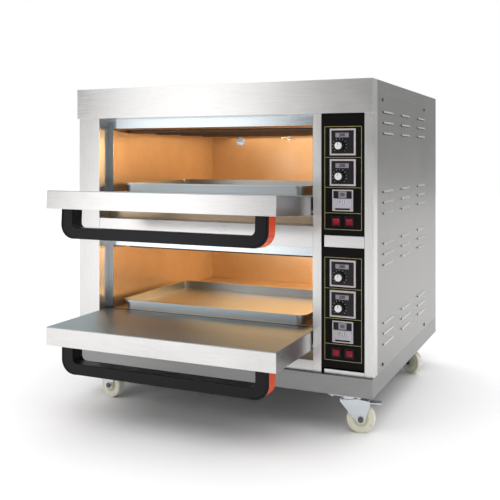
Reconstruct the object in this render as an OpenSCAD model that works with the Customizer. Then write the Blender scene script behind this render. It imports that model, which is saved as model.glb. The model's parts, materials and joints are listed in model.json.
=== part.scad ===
/* [Cabinet] */
// Overall width of the cabinet
cab_w = 920; // [860:1:1110]
// Depth from the front of the canopy to the rear cover
cab_d = 838; // [780:1:1000]
// Height from one deck to the next
deck_pitch = 356; // [330:1:430]
// Height of the skirt round the base
base_h = 50; // [40:1:60]
// Height of the canopy over the upper door
canopy_h = 89; // [70:1:120]
// Depth of the canopy from front to back
canopy_d = 50; // [44:1:70]
// Thickness of the outer sheet metal
sheet_t = 1.5; // [1:0.1:2]
// How far the posts stand behind the canopy front
post_set = 11.5; // [10:0.5:14]
// Width of the left front post
post_left_w = 72.5; // [60:0.5:90]
// Width of the post between the door and the controls
post_mid_w = 23; // [18:0.5:30]
// Width of the right front post
post_right_w = 24; // [20:0.5:34]
// Width of the control column
control_w = 117.5; // [110:0.5:130]
// Depth of the rear cover
rear_cover_d = 138; // [100:1:180]
// Height of the front panel between the two doors
rail_h = 57.5; // [50:0.5:70]

/* [Doors] */
// Thickness of a door
door_t = 50; // [44:0.5:60]
// Gap between a door and the posts at each side
door_side_gap = 3.5; // [2:0.5:6]
// How far a closed door stands behind the canopy front
door_set = 8; // [7:0.5:9]
// Hinge pin to the outer face of the door
hinge_in = 9.5; // [9:0.5:10]
// Hinge pin to the bottom edge of the door
hinge_up = 33.5; // [32:0.5:34]
// Radius of a hinge pin
hinge_pin_r = 5; // [4:0.5:6]
// How far the open upper door rests above level, in degrees
upper_tilt = 3.5; // [0:0.5:6]
// Width of a handle over its two legs
handle_w = 616; // [420:1:640]
// How far a handle stands out from the door
handle_out = 80; // [65:1:95]
// Width of a handle measured up the door
handle_up = 44; // [34:1:54]
// Thickness of the bar of a handle
handle_bar_t = 30; // [24:1:36]
// Width of a leg of a handle
handle_leg_w = 37; // [30:1:46]
// Distance of the handle from the top edge of the door
handle_drop = 28; // [20:1:40]
// Thickness of the trim on the ends of a handle
trim_t = 5; // [4:0.5:8]

/* [Chambers] */
// Width of the flange round the mouth of a chamber
flange_w = 18; // [14:1:26]
// Insulation between one chamber and the next
between_t = 118; // [90:1:140]
// Space behind a chamber
chamber_back = 111; // [90:1:140]
// Thickness of the chamber sheet
chamber_t = 2; // [1.5:0.1:3]
// Thickness of a hearth plate
hearth_t = 8; // [5:0.5:12]
// Diameter of a heating element
heater_d = 9; // [7:0.5:12]
// Length of a tray across the oven
tray_w = 600; // [400:1:600]
// Length of a tray into the oven
tray_d = 400; // [300:1:440]
// Depth of a tray
tray_h = 26; // [20:1:40]

/* [Controls] */
// Side of a thermostat bezel
thermostat_s = 70; // [60:1:72]
// Side of a timer bezel
timer_s = 56; // [48:1:60]
// Width of a rocker switch housing
rocker_w = 26; // [22:1:30]
// Height of a rocker switch housing
rocker_h = 27; // [24:1:30]
// Diameter of a temperature knob
knob_d = 28; // [24:1:30]
// How far a temperature knob stands out
knob_l = 15; // [10:0.5:18]

/* [Casters] */
// Diameter of a caster wheel
wheel_d = 75; // [60:1:90]
// Height of a caster over the top of its wheel
caster_head = 28; // [26:1:40]
// Width of a caster wheel
wheel_w = 25; // [20:1:30]
// Distance of a wheel behind its swivel
caster_trail = 34; // [28:1:38]
// Distance of a swivel from the side of the cabinet
caster_in = 76; // [60:1:100]

/* [Hidden] */
$fn = 48;

// Clearances: between parts, at a seam, over a door and the play of a pin in its bore
gap = 0.3;
seam = 0.1;
door_gap = 4;
pin_play = 0.05;
over = 1;

// Places across the cabinet
open_w = cab_w - post_left_w - post_mid_w - control_w - post_right_w;
x_side = cab_w / 2;
x_open0 = post_left_w - x_side;
x_open1 = x_open0 + open_w;
x_ctl0 = x_open1 + post_mid_w;
x_ctl1 = x_ctl0 + control_w;
x_door = (x_open0 + x_open1) / 2;
x_ctl = (x_ctl0 + x_ctl1) / 2;
door_w = open_w - 2 * door_side_gap;

// Heights over a deck's datum: rail, door, hinge pin, hearth and chamber
rail_top = 80;
door_z = rail_top + door_gap;
head_z = rail_top - rail_h;
door_h = deck_pitch + head_z - door_z - door_gap - 0.5;
hinge_z = door_z + hinge_up;
hearth_z = hinge_z + door_t - hinge_in;
under_hearth = 34;
floor_z = hearth_z - under_hearth;
ceil_z = floor_z + deck_pitch - between_t;
lip_z = ceil_z - 12;

// Depths behind the canopy front
hinge_y = door_set + hinge_in;
hinge_face = door_t - hinge_in;
sweep_r = sqrt(pow(hinge_face, 2) + pow(hinge_up, 2));
mouth_y = door_set + door_t + 0.5;
set_back = hinge_y + sweep_r + 2;
step_z = hinge_z + hinge_up + 1;
back_y = cab_d - chamber_back;
cover_y = cab_d - rear_cover_d;

// Decks and overall height
caster_h = wheel_d + caster_head;
deck_z = [caster_h, caster_h + deck_pitch];
base_z = caster_h;
base_top = base_z + base_h;
canopy_z = caster_h + 2 * deck_pitch + head_z;
top_z = canopy_z + canopy_h;
flange_down = 36;
side_top = top_z - flange_down;

// The origin lies midway between the edge of the open doors and the end of the steam outlets
door_len = door_h - hinge_up;
door_tilt = [0, upper_tilt];
reach = max([for (a = door_tilt) door_len * cos(a) + hinge_in * sin(a)]) - hinge_y;
outlet_out = 20;
front_y = (reach - cab_d - outlet_out) / 2;

// Chamber width inside its flange
cx0 = x_open0 + flange_w;
cx1 = x_open1 - flange_w;
cx = (cx0 + cx1) / 2;
base_plate_t = 3;
lip_w = 20;

// Rear fittings
outlet_r = 19;
outlet_t = 2;
outlet_x = -250;
outlet_up = 162;
gland_r = 12;
gland_bore_r = 7;
gland_x = x_ctl;
gland_z = base_top + 60;
screw_r = 5;
screw_h = 2.2;

// Rows of louvres: groups measured down from the top of the side, rows and columns
louvre_groups = [49, 263.5, 402, 615];
louvre_pitch = 28.7;
louvre_cols = [108, 314, 534];
louvre_w = 102.5;
louvre_r = 6;
louvre_t = 1.2;
louvre_in = 2.5;

// Control panels: extent of each over its deck's datum and the places of what it holds
panel_set = 14;
panel_t = 2;
panel_lo = [66, 58];
panel_hi = [deck_pitch + 27, deck_pitch + head_z - 1];
frame_down = [27, 33.5];
strip_in = 8;
row_down = [40.5, 120.5, 193.5, 248.5];
bezel_t = 4;
body_in = 3;
thermostat_body = 60;
knob_side = -8;
knob_down = 10;
knob_shaft_r = 3;
knob_shaft_l = 10;
timer_body = 50;
digit_r = 13;
digit_w = 8;
digit_pitch = 13;
digit_down = 4;
digit_out = 2.5;
digit_pin_r = 1.5;
rocker_pitch = 36;
rocker_proud = 3;
rocker_body = 25;
rocker_wall = 2.5;
rocker_t = 10;
rocker_lean = 8;
rocker_pin_r = 1.5;

// Casters: place, rest angle and braked wheels, in the order of the names
caster_front = 38;
caster_rear = 668;
caster_spots = [[-1, caster_front], [1, caster_front], [-1, caster_rear], [1, caster_rear]];
caster_angle = [-12, 12, 8, -25];
caster_plate_t = 3;
caster_plate = [90, 75];
race_r = 22;
race_h = 10;
fork_t = 2.5;
kingpin_r = 6;
axle_r = 4;
brake_x = 52;
brake_l = 36;
brake_t = 3;
brake_pin_r = 2;
brake_r = 4.5;
brake_z = caster_h - 23;
cheek_y = wheel_w / 2 + 1.5;

module in_cabinet() {
    translate([0, front_y, 0]) children();
}

module box(a, b) {
    translate(a) cube(b - a);
}

module round_rect(w, h, r) {
    square([w - 2 * r, h], center = true);
    square([w, h - 2 * r], center = true);
    for (x = [-1, 1], y = [-1, 1]) translate([x * (w / 2 - r), y * (h / 2 - r)]) circle(r);
}

module rod_x(x0, x1, y, z, r) {
    translate([x0, y, z]) rotate([0, 90, 0]) cylinder(h = x1 - x0, r = r);
}

module rod_y(x, y0, y1, z, r) {
    translate([x, y1, z]) rotate([90, 0, 0]) cylinder(h = y1 - y0, r = r);
}

// Cabinet
module base_frame() {
    color("silver") in_cabinet() difference() {
        box([-x_side, 0, base_z], [x_side, cab_d, base_top]);
        box([sheet_t - x_side, sheet_t, base_z + base_plate_t],
            [x_side - sheet_t, cab_d - sheet_t, base_top - sheet_t]);
        box([lip_w - x_side, lip_w, base_z + base_plate_t],
            [x_side - lip_w, cab_d - lip_w, base_top + over]);
    }
}

module side_sheet(s) {
    edge = 14;
    x0 = s * x_side;
    y0 = canopy_d;
    box([min(x0, x0 - s * sheet_t), y0, base_top], [max(x0, x0 - s * sheet_t), cover_y, side_top]);
    for (y = [y0, cover_y - sheet_t])
        box([min(x0, x0 - s * edge), y, base_top], [max(x0, x0 - s * edge), y + sheet_t, side_top]);
}

module left_side_panel() {
    color("silver") in_cabinet() side_sheet(-1);
}

module at_louvres() {
    for (g = louvre_groups, row = [0:2], y = louvre_cols)
        if (y + louvre_w < cover_y - lip_w)
            translate([x_side - louvre_in, y, side_top - g - row * louvre_pitch]) children();
}

module louvre() {
    rotate([-90, 0, 0]) difference() {
        cylinder(h = louvre_w, r = louvre_r);
        translate([0, 0, louvre_t]) cylinder(h = louvre_w - 2 * louvre_t, r = louvre_r - louvre_t);
        translate([-2 * louvre_r - louvre_in / 2, -louvre_r - over, -over])
            cube([2 * louvre_r, 2 * louvre_r + 2 * over, louvre_w + 2 * over]);
        translate([-louvre_r - over, 0, -over])
            cube([2 * louvre_r + 2 * over, louvre_r + over, louvre_w + 2 * over]);
    }
}

module right_side_panel() {
    color("silver") in_cabinet() {
        difference() {
            side_sheet(1);
            at_louvres() translate([-louvre_r, louvre_t, -louvre_t])
                cube([2 * louvre_r, louvre_w - 2 * louvre_t, louvre_r - louvre_t]);
        }
        at_louvres() louvre();
    }
}

module rear_cover() {
    color("silver") in_cabinet() difference() {
        box([-x_side, cover_y, base_top], [x_side, cab_d, top_z]);
        box([sheet_t - x_side, cover_y - over, base_top - over],
            [x_side - sheet_t, cab_d - sheet_t, top_z - sheet_t]);
        for (d = deck_z) rod_y(outlet_x, back_y, cab_d + over, d + hearth_z + outlet_up, outlet_r + gap);
        rod_y(gland_x, back_y, cab_d + over, gland_z, gland_r + gap / 2);
    }
}

module top_cover() {
    color("silver") in_cabinet() difference() {
        box([-x_side, canopy_d, side_top], [x_side, cover_y, top_z]);
        box([sheet_t - x_side, canopy_d - over, side_top - over],
            [x_side - sheet_t, cover_y + over, top_z - sheet_t]);
    }
}

module canopy() {
    color("gainsboro") in_cabinet() {
        difference() {
            box([-x_side, 0, canopy_z], [x_side, canopy_d, top_z]);
            box([sheet_t - x_side, sheet_t, canopy_z + sheet_t],
                [x_side - sheet_t, canopy_d + over, top_z - sheet_t]);
        }
        box([x_open0, canopy_d - over, canopy_z], [x_open1, mouth_y + sheet_t, canopy_z + sheet_t]);
    }
}

// A post is a sheet with a return at each side
module post(x0, x1, left_end, right_end) {
    box([x0, post_set, base_top], [x1, post_set + sheet_t, canopy_z]);
    box([x0, post_set, base_top], [x0 + sheet_t, left_end, canopy_z]);
    box([x1 - sheet_t, post_set, base_top], [x1, right_end, canopy_z]);
}

module hinge_holes(x) {
    for (d = deck_z) rod_x(x - 3 * sheet_t, x + 3 * sheet_t, hinge_y, d + hinge_z, hinge_pin_r + gap);
}

module left_front_post() {
    color("gainsboro") in_cabinet() difference() {
        post(-x_side, x_open0, canopy_d, set_back);
        hinge_holes(x_open0);
    }
}

module middle_front_post() {
    color("gainsboro") in_cabinet() difference() {
        post(x_open1, x_ctl0, set_back, canopy_d);
        hinge_holes(x_open1);
    }
}

module right_front_post() {
    color("gainsboro") in_cabinet() post(x_ctl1, x_side, canopy_d, canopy_d);
}

// A front rail is a channel with a deep top and bottom
module rail(z0, z1, low_end) {
    x0 = x_open0 + gap;
    x1 = x_open1 - gap;
    box([x0, post_set, z0], [x1, post_set + sheet_t, z1]);
    box([x0, post_set, z1 - sheet_t], [x1, set_back + chamber_t, z1]);
    box([x0, post_set, z0], [x1, low_end, z0 + sheet_t]);
}

module front_rails() {
    color("gainsboro") in_cabinet() {
        rail(base_top, deck_z[0] + rail_top, canopy_d);
        rail(deck_z[1] + head_z, deck_z[1] + rail_top, mouth_y + sheet_t);
    }
}

module insulation() {
    y0 = set_back + 2 * chamber_t;
    x0 = cx0 - chamber_t;
    x1 = cx1 + chamber_t;
    z0 = base_z + base_plate_t;
    z1 = top_z - sheet_t;
    color("khaki") in_cabinet() {
        box([x0, y0, z0], [x1, back_y, deck_z[0] + floor_z]);
        box([x0, y0, deck_z[0] + ceil_z], [x1, back_y, deck_z[1] + floor_z]);
        box([x0, y0, deck_z[1] + ceil_z], [x1, back_y, z1]);
        box([sheet_t - x_side, y0, base_top], [x0, cover_y - sheet_t, z1]);
        box([x1, y0, z0], [x_ctl0 - sheet_t, cover_y - sheet_t, z1]);
        difference() {
            box([x0, back_y, base_top], [x1, cab_d - 2 * sheet_t, z1]);
            for (d = deck_z) rod_y(outlet_x, back_y - over, cab_d, d + hearth_z + outlet_up, outlet_r + gap);
        }
    }
}

// Chambers: sheets that meet at narrow seams
module chamber_walls() {
    t = chamber_t;
    y0 = set_back + t + seam;
    y1 = back_y - t - seam;
    box([cx0 - t, y0, floor_z], [cx1 + t, y1, floor_z + t]);
    box([cx0 - t, mouth_y + t + seam, ceil_z - t], [cx1 + t, y1, ceil_z]);
    for (x = [cx0 - t, cx1]) {
        box([x, y0, floor_z + t + seam], [x + t, y1, ceil_z - t - seam]);
        box([x, mouth_y + t + seam, step_z + t + seam], [x + t, set_back + t, ceil_z - t - seam]);
    }
    difference() {
        box([cx0 - t, back_y - t, floor_z], [cx1 + t, back_y, ceil_z]);
        rod_y(outlet_x, back_y - 2 * t, back_y + over, hearth_z + outlet_up, outlet_r - outlet_t);
    }
}

module chamber_mouth() {
    t = chamber_t;
    f0 = x_open0 + gap;
    f1 = x_open1 - gap;
    head = deck_pitch + head_z - gap;
    for (x = [[f0, cx0], [cx1, f1]]) box([x[0], mouth_y, step_z], [x[1], mouth_y + t, head]);
    for (z = [[step_z, hearth_z], [lip_z, head]])
        box([cx0 + seam, mouth_y, z[0]], [cx1 - seam, mouth_y + t, z[1]]);
    box([f0, mouth_y + t + seam, step_z], [f1, set_back - seam, step_z + t]);
    box([f0, set_back, rail_top], [f1, set_back + t, step_z + t]);
    box([cx0 + seam, mouth_y + t + seam, step_z + t + seam], [cx1 - seam, set_back + t, hearth_z]);
}

module hearth_ledges() {
    ledge = 15;
    for (x = [cx0 + seam, cx1 - seam - ledge])
        box([x, set_back + chamber_t + over, hearth_z - hearth_t - chamber_t],
            [x + ledge, back_y - chamber_t - over, hearth_z - hearth_t]);
}

module chambers() {
    color("burlywood") in_cabinet() for (d = deck_z) translate([0, 0, d]) {
        chamber_walls();
        chamber_mouth();
        hearth_ledges();
    }
}

module hearth_plates() {
    color("tan") in_cabinet() for (d = deck_z)
        box([cx0 + gap, set_back + chamber_t + gap, d + hearth_z - hearth_t],
            [cx1 - gap, back_y - chamber_t - gap, d + hearth_z]);
}

// A hairpin runs across the chamber and back to its terminals on the right wall
module hairpin() {
    r = heater_d / 2;
    bend = 30;
    x0 = cx0 + bend + r + gap;
    x1 = cx1 - gap;
    for (y = [-bend, bend]) rod_x(x0, x1, y, 0, r);
    translate([x0, 0, 0]) rotate([0, 0, 90]) rotate_extrude(angle = 180) translate([bend, 0]) circle(r);
}

module heating_elements() {
    count = 4;
    first = set_back + 80;
    pitch = (back_y - set_back - 160) / (count - 1);
    color("dimgray") in_cabinet() for (d = deck_z, i = [0:count - 1])
        for (z = [floor_z + chamber_t + heater_d, ceil_z - chamber_t - 2 * heater_d])
            translate([0, first + i * pitch, d + z]) hairpin();
}

module thermocouples() {
    probe_x = cx - 4;
    probe_z = ceil_z - 31;
    color("silver") in_cabinet() for (d = deck_z) {
        rod_y(probe_x, back_y - chamber_t - 75, back_y - chamber_t, d + probe_z, 3);
        rod_y(probe_x, back_y - chamber_t - 6, back_y - chamber_t, d + probe_z, 8);
    }
}

module lamps() {
    lamp_y = back_y - 110;
    lamp_z = hearth_z + 130;
    color("lightyellow") in_cabinet() for (d = deck_z) {
        rod_x(cx1 - 5, cx1, lamp_y, d + lamp_z, 34);
        rod_x(cx1 - 16, cx1, lamp_y, d + lamp_z, 26);
    }
}

module steam_outlets() {
    color("silver") in_cabinet() for (d = deck_z) difference() {
        union() {
            rod_y(outlet_x, back_y, cab_d + outlet_out, d + hearth_z + outlet_up, outlet_r);
            rod_y(outlet_x, cab_d, cab_d + outlet_t, d + hearth_z + outlet_up, outlet_r + 12);
        }
        rod_y(outlet_x, back_y - over, cab_d + outlet_out + over, d + hearth_z + outlet_up,
            outlet_r - outlet_t);
    }
}

module cable_gland() {
    inside = 14;
    nut = 17;
    nut_l = 6;
    color("dimgray") in_cabinet() difference() {
        union() {
            rod_y(gland_x, cab_d - inside, cab_d + nut_l + 6, gland_z, gland_r);
            translate([gland_x, cab_d + nut_l, gland_z]) rotate([90, 0, 0])
                cylinder(h = nut_l, r = nut, $fn = 6);
        }
        rod_y(gland_x, cab_d - inside - over, cab_d + 2 * inside, gland_z, gland_bore_r);
    }
}

// Hinges: a block inside each post carries the pin that enters the end of the door
module hinge_bracket(x, s) {
    block = 14;
    x0 = x - s * sheet_t;
    bush = 20;
    box([min(x0, x0 - s * block), post_set + sheet_t, hinge_z - block],
        [max(x0, x0 - s * block), post_set + sheet_t + block, hinge_z + block]);
    x1 = x + s * (door_side_gap + bush);
    rod_x(min(x0 - s * over, x1), max(x0 - s * over, x1), hinge_y, hinge_z, hinge_pin_r);
}

module hinge_brackets() {
    color("gray") in_cabinet() for (d = deck_z) translate([0, 0, d]) {
        hinge_bracket(x_open0, 1);
        hinge_bracket(x_open1, -1);
    }
}

module panel_screws() {
    low = base_top + 15;
    high = side_top - 14;
    rear_x = x_side - 30;
    color("silver") in_cabinet() {
        for (y = [canopy_d + 53, cover_y - 62], z = [low, high]) {
            rod_x(x_side, x_side + screw_h, y, z, screw_r);
            rod_x(-x_side - screw_h, -x_side, y, z, screw_r);
        }
        for (x = [-rear_x, 0, rear_x], z = [low, top_z - 15]) rod_y(x, cab_d, cab_d + screw_h, z, screw_r);
    }
}

// Doors, in a frame with its origin on the hinge pin and the door standing closed
module on_door(i) {
    translate([0, front_y + hinge_y, deck_z[i] + hinge_z]) rotate([90 - door_tilt[i], 0, 0]) children();
}

door_wall = 2;
module door_shell(i) {
    x0 = x_door - door_w / 2;
    x1 = x_door + door_w / 2;
    w = door_wall;
    bush_l = 22;
    bush_r = 8;
    color("gainsboro") on_door(i) difference() {
        union() {
            difference() {
                box([x0, -hinge_in, -hinge_up], [x1, hinge_face - w, door_len]);
                box([x0 + w, w - hinge_in, w - hinge_up], [x1 - w, hinge_face, door_len - w]);
            }
            rod_x(x0 + over, x0 + bush_l, 0, 0, bush_r);
            rod_x(x1 - bush_l, x1 - over, 0, 0, bush_r);
        }
        rod_x(x0 - over, x0 + bush_l + over, 0, 0, hinge_pin_r + pin_play);
        rod_x(x1 - bush_l - over, x1 + over, 0, 0, hinge_pin_r + pin_play);
    }
}

module door_panel(i) {
    x0 = x_door - door_w / 2;
    x1 = x_door + door_w / 2;
    w = door_wall;
    lip = 12;
    color("lightslategray") on_door(i) {
        box([x0, hinge_face - w, -hinge_up], [x1, hinge_face, door_len]);
        difference() {
            box([x0 + w + gap, hinge_face - lip, w + gap - hinge_up],
                [x1 - w - gap, hinge_face - w, door_len - w - gap]);
            box([x0 + 2 * w + gap, hinge_face - lip - over, 2 * w + gap - hinge_up],
                [x1 - 2 * w - gap, hinge_face - w, door_len - 2 * w - gap]);
        }
    }
}

// A U in plan: round corners at its outer side, open at the door
module u_shape(w, h, r) {
    intersection() {
        round_rect(w, 2 * h, r);
        translate([-w / 2, -over]) square([w, h + over]);
    }
}

handle_r = 40;
handle_inner_r = 15;
trim_reach = 52;

module trim_outline() {
    difference() {
        u_shape(handle_w, handle_out, handle_r);
        u_shape(handle_w - 2 * trim_t, handle_out - trim_t, handle_r - trim_t);
        translate([trim_reach - handle_w / 2, -2 * over]) square([handle_w - 2 * trim_reach, 2 * handle_out]);
    }
}

module on_handle(i) {
    on_door(i) translate([x_door, -hinge_in, door_len - handle_drop - handle_up]) mirror([0, 1, 0])
        linear_extrude(handle_up) difference() {
            children();
            translate([-x_side, -2 * over]) square([2 * x_side, 2 * over]);
        }
}

module door_handle(i) {
    color("#26262a") on_handle(i) difference() {
        u_shape(handle_w, handle_out, handle_r);
        u_shape(handle_w - 2 * handle_leg_w, handle_out - handle_bar_t, handle_inner_r);
        trim_outline();
    }
}

module door_trims(i) {
    color("orangered") on_handle(i) trim_outline();
}

module door_lower_shell() { door_shell(0); }
module door_upper_shell() { door_shell(1); }
module door_lower_panel() { door_panel(0); }
module door_upper_panel() { door_panel(1); }
module door_lower_handle() { door_handle(0); }
module door_upper_handle() { door_handle(1); }
module door_lower_trims() { door_trims(0); }
module door_upper_trims() { door_trims(1); }

// Trays: a rolled rim round a shallow pan
tray_front = 64;
tray_corner = 30;
tray_t = 1.5;
rim_w = 9;
rim_t = 6;

module tray(i) {
    color("silver") in_cabinet() translate([cx, tray_front + tray_d / 2, deck_z[i] + hearth_z + gap]) {
        difference() {
            linear_extrude(tray_h - over)
                round_rect(tray_w - 2 * rim_w, tray_d - 2 * rim_w, tray_corner - rim_w);
            translate([0, 0, tray_t]) linear_extrude(tray_h)
                round_rect(tray_w - 2 * rim_w - 2 * tray_t, tray_d - 2 * rim_w - 2 * tray_t,
                    tray_corner - rim_w - tray_t);
        }
        translate([0, 0, tray_h - rim_t]) linear_extrude(rim_t) difference() {
            round_rect(tray_w, tray_d, tray_corner);
            round_rect(tray_w - 2 * rim_w - tray_t, tray_d - 2 * rim_w - tray_t, tray_corner - rim_w);
        }
    }
}

module tray_lower() { tray(0); }
module tray_upper() { tray(1); }

// Controls: each deck's instruments hang from the top of its frame
module at_control(i, row) {
    in_cabinet() translate([x_ctl, panel_set, deck_z[i] + panel_hi[i] - frame_down[i] - row_down[row]])
        children();
}

module centre_box(w, y0, y1, h) {
    box([-w / 2, y0, -h / 2], [w / 2, y1, h / 2]);
}

module control_chassis() {
    plate_y = 260;
    top = canopy_z - 20;
    color("dimgray") in_cabinet() {
        box([x_ctl0 - sheet_t, canopy_d + gap, base_z + base_plate_t], [x_ctl0, cover_y - sheet_t, top]);
        box([x_ctl0, plate_y, base_z + base_plate_t], [x_side - lip_w - gap, plate_y + sheet_t, top]);
    }
}

module control_strips() {
    color("gainsboro") in_cabinet() {
        box([x_ctl0 + strip_in, post_set, base_top], [x_ctl1 - gap, post_set + 2 * panel_t, base_top + 12]);
        box([x_ctl0 + strip_in, post_set, deck_z[0] + panel_hi[0] + gap],
            [x_ctl1 - gap, post_set + 2 * panel_t, deck_z[1] + panel_lo[1] - gap]);
    }
}

module control_panels() {
    hole = body_in - gap;
    color("#1c1a1b") for (i = [0, 1]) difference() {
        in_cabinet() box([x_ctl0 + gap, panel_set, deck_z[i] + panel_lo[i]],
            [x_ctl1 - gap, panel_set + panel_t, deck_z[i] + panel_hi[i]]);
        for (row = [0, 1]) at_control(i, row)
            centre_box(thermostat_s - 2 * hole, -over, bezel_t, thermostat_s - 2 * hole);
        at_control(i, 2) centre_box(timer_s - 2 * hole, -over, bezel_t, timer_s - 2 * hole);
        for (x = [-rocker_pitch / 2, rocker_pitch / 2]) at_control(i, 3) translate([x, 0, 0])
            centre_box(rocker_w - 2 * rocker_wall + 2 * gap, -over, bezel_t,
                rocker_h - 2 * rocker_wall + 2 * gap);
    }
}

module thermostats() {
    s = thermostat_s;
    color("#b9adab") for (i = [0, 1], row = [0, 1]) at_control(i, row) difference() {
        union() {
            centre_box(s, -bezel_t, 0, s);
            centre_box(s - 2 * body_in, -over, thermostat_body, s - 2 * body_in);
        }
        rod_y(knob_side, -bezel_t - over, knob_shaft_l, -knob_down, knob_shaft_r + pin_play);
    }
}

module timers() {
    s = timer_s;
    slot_w = 2 * digit_pitch - 1;
    slot_h = 2 * digit_r + 2;
    color("#a9a4a0") for (i = [0, 1]) at_control(i, 2) {
        difference() {
            union() {
                centre_box(s, -bezel_t, 0, s);
                centre_box(s - 2 * body_in, -over, timer_body, s - 2 * body_in);
            }
            translate([0, 0, -digit_down])
                centre_box(slot_w, -bezel_t - over, digit_r * 2 + over, slot_h);
        }
        rod_x(-slot_w / 2 - over, slot_w / 2 + over, digit_r - digit_out - bezel_t, -digit_down, digit_pin_r);
    }
}

module switch_housings() {
    w = rocker_w - 2 * rocker_wall;
    h = rocker_h - 2 * rocker_wall;
    color("#141416") for (i = [0, 1], x = [-rocker_pitch / 2, rocker_pitch / 2])
        at_control(i, 3) translate([x, 0, 0]) difference() {
            union() {
                centre_box(rocker_w, -rocker_proud, 0, rocker_h);
                centre_box(w, -over, rocker_body, h);
            }
            centre_box(w - 2, -rocker_proud - over, rocker_t, h - 2);
            rod_x(-w / 2, w / 2, 0, 0, rocker_pin_r + pin_play);
        }
}

module control_gear() {
    plate_y = 260;
    w = 45;
    h = 80;
    color("#e4e0d6") in_cabinet() {
        for (i = [0, 1], x = [x_ctl - w, x_ctl + 3])
            box([x, plate_y - 70, deck_z[i] + 160], [x + w, plate_y, deck_z[i] + 160 + h]);
        box([x_ctl - w, plate_y - 36, base_top + 30], [x_ctl + w, plate_y, base_top + 60]);
    }
}

module knob(i, row) {
    color("#e8e6e2") at_control(i, row) {
        rod_y(knob_side, -bezel_t - gap - knob_l, -bezel_t - gap, -knob_down, knob_d / 2);
        rod_y(knob_side, -bezel_t - 2 * gap, knob_shaft_l - over, -knob_down, knob_shaft_r);
    }
}

module knob_lower_top_heat() { knob(0, 0); }
module knob_lower_bottom_heat() { knob(0, 1); }
module knob_upper_top_heat() { knob(1, 0); }
module knob_upper_bottom_heat() { knob(1, 1); }

module digit_wheel(i, s) {
    color("white") at_control(i, 2) difference() {
        rod_x(s * digit_pitch / 2 - digit_w / 2, s * digit_pitch / 2 + digit_w / 2,
            digit_r - digit_out - bezel_t, -digit_down, digit_r);
        rod_x(s * digit_pitch / 2 - digit_w, s * digit_pitch / 2 + digit_w,
            digit_r - digit_out - bezel_t, -digit_down, digit_pin_r + pin_play);
    }
}

module timer_lower_tens() { digit_wheel(0, -1); }
module timer_lower_units() { digit_wheel(0, 1); }
module timer_upper_tens() { digit_wheel(1, -1); }
module timer_upper_units() { digit_wheel(1, 1); }

module rocker(i, s) {
    w = rocker_w - 2 * rocker_wall - 3;
    h = rocker_h - 2 * rocker_wall - 5;
    pin = w / 2 + 1.2;
    color("crimson") at_control(i, 3) translate([s * rocker_pitch / 2, 0, 0]) {
        rotate([rocker_lean, 0, 0]) centre_box(w, -rocker_proud - 2, rocker_t / 2, h);
        rod_x(-pin, pin, 0, 0, rocker_pin_r);
    }
}

module rocker_lower_power() { rocker(0, -1); }
module rocker_lower_lamp() { rocker(0, 1); }
module rocker_upper_power() { rocker(1, -1); }
module rocker_upper_lamp() { rocker(1, 1); }

// Casters, in a frame with its origin on the swivel at the floor and the wheel trailing along +X
module swivel_x(k) {
    translate([caster_spots[k][0] * (x_side - caster_in), caster_spots[k][1], 0]) children();
}

module on_caster(k) {
    in_cabinet() translate([caster_spots[k][0] * (x_side - caster_in), caster_spots[k][1], 0])
        rotate([0, 0, caster_angle[k]]) children();
}

module caster_plates() {
    color("lightsteelblue") in_cabinet() for (k = [0:3]) swivel_x(k) {
        translate([-caster_plate[0] / 2, -caster_plate[1] / 2 + 3, base_z - caster_plate_t])
            cube([caster_plate[0], caster_plate[1] - 6, caster_plate_t]);
        translate([0, 0, base_z - caster_plate_t - race_h]) cylinder(h = race_h + over, r = race_r);
        translate([0, 0, base_z - caster_plate_t - race_h - 5]) cylinder(h = race_h, r = kingpin_r);
    }
}

module cheek(k) {
    top = base_z - caster_plate_t - race_h - gap;
    axle_z = wheel_d / 2;
    braked = k < 2;
    linear_extrude(fork_t) polygon(braked
        ? [[-20, top], [-20, top - 8], [caster_trail - 9, axle_z - 9], [caster_trail + 9, axle_z - 9],
            [brake_x + 6, brake_z - 6], [brake_x + 6, brake_z + 5], [24, top]]
        : [[-20, top], [-20, top - 8], [caster_trail - 9, axle_z - 9], [caster_trail + 9, axle_z - 9],
            [caster_trail + 9, axle_z + 9], [24, top]]);
}

module fork(k) {
    top = base_z - caster_plate_t - race_h - gap;
    color("lightsteelblue") on_caster(k) {
        difference() {
            translate([0, 0, top - fork_t]) cylinder(h = fork_t, r = race_r + 2);
            translate([0, 0, top - fork_t - over]) cylinder(h = 3 * fork_t, r = kingpin_r + pin_play);
        }
        for (y = [-cheek_y, cheek_y + fork_t]) translate([0, y, 0]) rotate([90, 0, 0]) cheek(k);
        rod_y(caster_trail, -cheek_y - 2 * fork_t, cheek_y + 2 * fork_t, wheel_d / 2, axle_r);
        rod_y(caster_trail, -cheek_y - 2 * fork_t, -cheek_y - fork_t, wheel_d / 2, 2 * axle_r);
        rod_y(caster_trail, cheek_y + fork_t, cheek_y + 2 * fork_t, wheel_d / 2, 2 * axle_r);
        if (k < 2) rod_y(brake_x, -cheek_y - over, cheek_y + over, brake_z, brake_pin_r);
    }
}

module caster_wheel(k) {
    hub = 13;
    dish = 2;
    color("ivory") on_caster(k) translate([caster_trail, 0, wheel_d / 2]) rotate([90, 0, 0])
        rotate_extrude() polygon([
            [axle_r + pin_play, -wheel_w / 2 - 1], [hub, -wheel_w / 2 - 1], [hub, dish - wheel_w / 2],
            [wheel_d / 2 - 8, dish - wheel_w / 2], [wheel_d / 2 - 4, -wheel_w / 2],
            [wheel_d / 2, 3 - wheel_w / 2], [wheel_d / 2, wheel_w / 2 - 3],
            [wheel_d / 2 - 4, wheel_w / 2], [wheel_d / 2 - 8, wheel_w / 2 - dish],
            [hub, wheel_w / 2 - dish], [hub, wheel_w / 2 + 1], [axle_r + pin_play, wheel_w / 2 + 1]]);
}

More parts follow.
